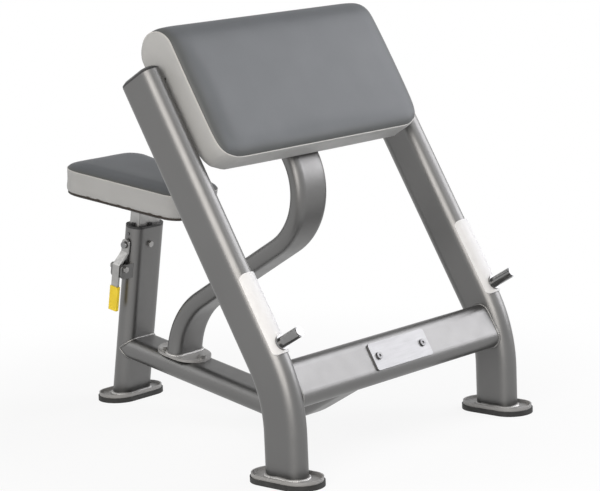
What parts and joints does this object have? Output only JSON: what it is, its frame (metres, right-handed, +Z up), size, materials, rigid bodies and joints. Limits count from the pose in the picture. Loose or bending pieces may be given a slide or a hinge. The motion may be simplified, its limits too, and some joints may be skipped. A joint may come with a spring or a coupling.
{
  "type": "preacher curl bench",
  "caption": "Preacher curl bench: bent oblong-tube frame, sloping rolled arm pad, bar rests on the legs, and a padded seat that slides on a leaning post with a lever lock.",
  "frame": {"origin": "floor level, middle of the bench's plan", "axes": "+Z up, +Y towards the seat, the bar rests face -Y and the lock lever is on -X"},
  "size_m": [0.797, 0.9719, 0.903],
  "materials": {
    "frame_paint": "satin metallic grey paint",
    "foot_rubber": "matte black",
    "black_plastic": "matte black",
    "white_plastic": "smooth white",
    "chrome": "polished",
    "zinc_steel": "zinc plated",
    "spring_steel": "dark spring steel",
    "plate_aluminium": "satin, bare",
    "plywood": "raw plywood",
    "vinyl": "grained vinyl",
    "yellow_grip": "dipped vinyl grip"
  },
  "bodies": {
    "frame": {"left_leg": "frame_paint", "right_leg": "frame_paint", "crossbar": "frame_paint", "base_beam": "frame_paint", "rear_post": "frame_paint", "pad_brace": "frame_paint", "brace_plate": "frame_paint", "left_foot_plate": "frame_paint", "right_foot_plate": "frame_paint", "rear_foot_plate": "frame_paint", "lever_bracket": "frame_paint", "left_rubber_foot": "foot_rubber", "right_rubber_foot": "foot_rubber", "rear_rubber_foot": "foot_rubber", "left_leg_cap": "black_plastic", "right_leg_cap": "black_plastic", "post_sleeve": "black_plastic", "pin_bush": "black_plastic", "left_bar_guard": "white_plastic", "right_bar_guard": "white_plastic", "left_rest_pin": "chrome", "right_rest_pin": "chrome", "left_rest_washer": "chrome", "right_rest_washer": "chrome", "nameplate_screws": "chrome", "brace_bolts": "zinc_steel", "pad_bolts": "zinc_steel", "sleeve_bolt": "zinc_steel", "sleeve_screw": "zinc_steel", "lever_pivot": "zinc_steel", "lever_pivot_nut": "zinc_steel", "pad_plate": "zinc_steel", "nameplate": "plate_aluminium", "pad_board": "plywood", "arm_pad": "vinyl"},
    "seat": {"seat_tube": "zinc_steel", "seat_plate": "zinc_steel", "seat_board": "plywood", "seat_cushion": "vinyl", "seat_bolts": "zinc_steel"},
    "lever": {"lever_arm": "zinc_steel", "lever_grip": "yellow_grip", "lever_spring": "spring_steel"},
    "lock_pin": {"lock_pin": "chrome", "lock_pin_nut": "chrome"}
  },
  "joints": [
    {"name": "seat_height", "type": "slide", "parent": "frame", "child": "seat", "axis": [0, -0.1805, 0.9836], "range_m": [-0.025, 0.125]},
    {"name": "lever_tilt", "type": "hinge", "parent": "frame", "child": "lever", "pos_m": [-0.07, 0.34767, 0.32163], "axis": [0, -0.9836, -0.1805], "range_deg": [0, 12], "stiffness_Nm_per_rad": 2, "springref_deg": -11.46},
    {"name": "lock_pin_slide", "type": "slide", "parent": "frame", "child": "lock_pin", "axis": [-1, 0, 0], "range_m": [0, 0.0112]}
  ],
  "couplings": [
    {"joint": "lock_pin_slide", "follows": "lever_tilt", "m_per_rad": 0.052}
  ]
}
